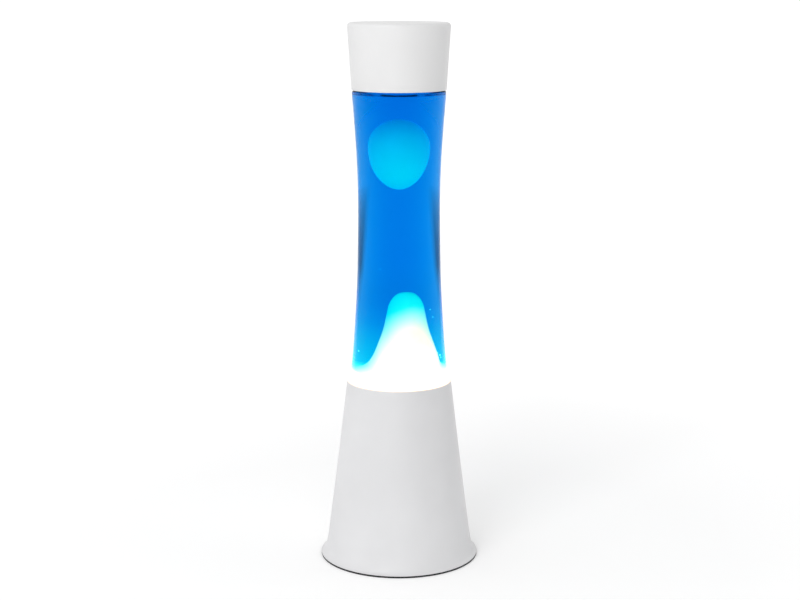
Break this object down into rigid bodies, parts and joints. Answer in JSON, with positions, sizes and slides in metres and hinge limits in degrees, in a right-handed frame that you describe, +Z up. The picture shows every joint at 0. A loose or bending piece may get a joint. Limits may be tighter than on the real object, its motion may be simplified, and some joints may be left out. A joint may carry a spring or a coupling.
{
  "type": "lava lamp",
  "caption": "Desk lava lamp: flared painted metal base holding a reflector bulb, waisted glass bottle of tinted liquid and wax, and a lift-off metal cap.",
  "frame": {"origin": "centre of the foot, on the surface that the lamp stands on", "axes": "+Z up along the lamp's axis; +Y towards the back, where the cord comes in; +X to the right"},
  "size_m": [0.1168, 0.1168, 0.395],
  "materials": {
    "white_paint": "satin",
    "zinc_steel": "satin",
    "brass": "satin",
    "aluminium": "satin",
    "mirror_coat": "polished",
    "black_rubber": "matte",
    "pale_silicone": "matte",
    "cream_plastic": "satin",
    "black_glass": "gloss",
    "pale_foam": "matte",
    "clear_glass": "polished",
    "blue_liquid": "polished",
    "pale_wax": "satin",
    "blue_wax": "satin",
    "tungsten": "satin",
    "brown_lead": "satin",
    "blue_lead": "satin",
    "green_lead": "satin"
  },
  "bodies": {
    "base": {"base_shell": "white_paint", "foot_ring": "black_rubber", "base_plate": "zinc_steel", "plate_tab_1": "zinc_steel", "plate_tab_2": "zinc_steel", "plate_tab_3": "zinc_steel", "plate_screw_1": "zinc_steel", "plate_screw_2": "zinc_steel", "plate_screw_3": "zinc_steel", "bottle_ledge": "zinc_steel", "ledge_cushion": "pale_silicone", "holder_bracket": "zinc_steel", "bracket_rivet_1": "aluminium", "bracket_rivet_2": "aluminium", "holder_nipple": "zinc_steel", "nipple_nut": "brass", "holder_cup": "cream_plastic", "holder_sleeve": "cream_plastic", "holder_shell": "brass", "centre_contact": "brass", "terminal_block": "cream_plastic", "terminal_screw_1": "brass", "terminal_screw_2": "brass", "terminal_screw_3": "brass", "live_lead": "brown_lead", "neutral_lead": "blue_lead", "earth_lead": "green_lead", "earth_terminal": "zinc_steel", "earth_screw": "brass", "cord_grommet": "black_rubber"},
    "bottle": {"glass_bottle": "clear_glass", "crown_closure": "aluminium", "sealing_disc": "pale_silicone", "liquid": "blue_liquid", "wax_pool": "pale_wax", "heating_coil": "zinc_steel"},
    "blob": {"wax_blob": "blue_wax"},
    "cap": {"lamp_cap": "white_paint", "cap_collar": "cream_plastic", "cap_pad": "pale_foam"},
    "bulb_contact": {"bulb_eyelet": "brass"},
    "bulb": {"bulb_glass": "clear_glass", "bulb_mirror_coat": "mirror_coat", "bulb_cap": "aluminium", "bulb_insulator": "black_glass", "bulb_stem": "clear_glass", "support_wire_1": "zinc_steel", "support_wire_2": "zinc_steel", "filament": "tungsten"}
  },
  "joints": [
    {"name": "bottle_lift", "type": "slide", "parent": "base", "child": "bottle", "axis": [0, 0, 1], "range_m": [0, 0.06]},
    {"name": "cap_lift", "type": "slide", "parent": "bottle", "child": "cap", "axis": [0, 0, 1], "range_m": [0, 0.06]},
    {"name": "wax_rise", "type": "slide", "parent": "bottle", "child": "blob", "axis": [0, 0, 1], "range_m": [-0.07, 0.014]},
    {"name": "bulb_rise", "type": "slide", "parent": "base", "child": "bulb_contact", "axis": [0, 0, 1], "range_m": [0, 0.01128]},
    {"name": "bulb_turn", "type": "hinge", "parent": "bulb_contact", "child": "bulb", "pos_m": [0, 0, 0.04], "axis": [0, 0, 1], "range_deg": [0, 1440]}
  ],
  "couplings": [
    {"joint": "bulb_turn", "follows": "bulb_rise", "rad_per_m": 2226.5}
  ]
}
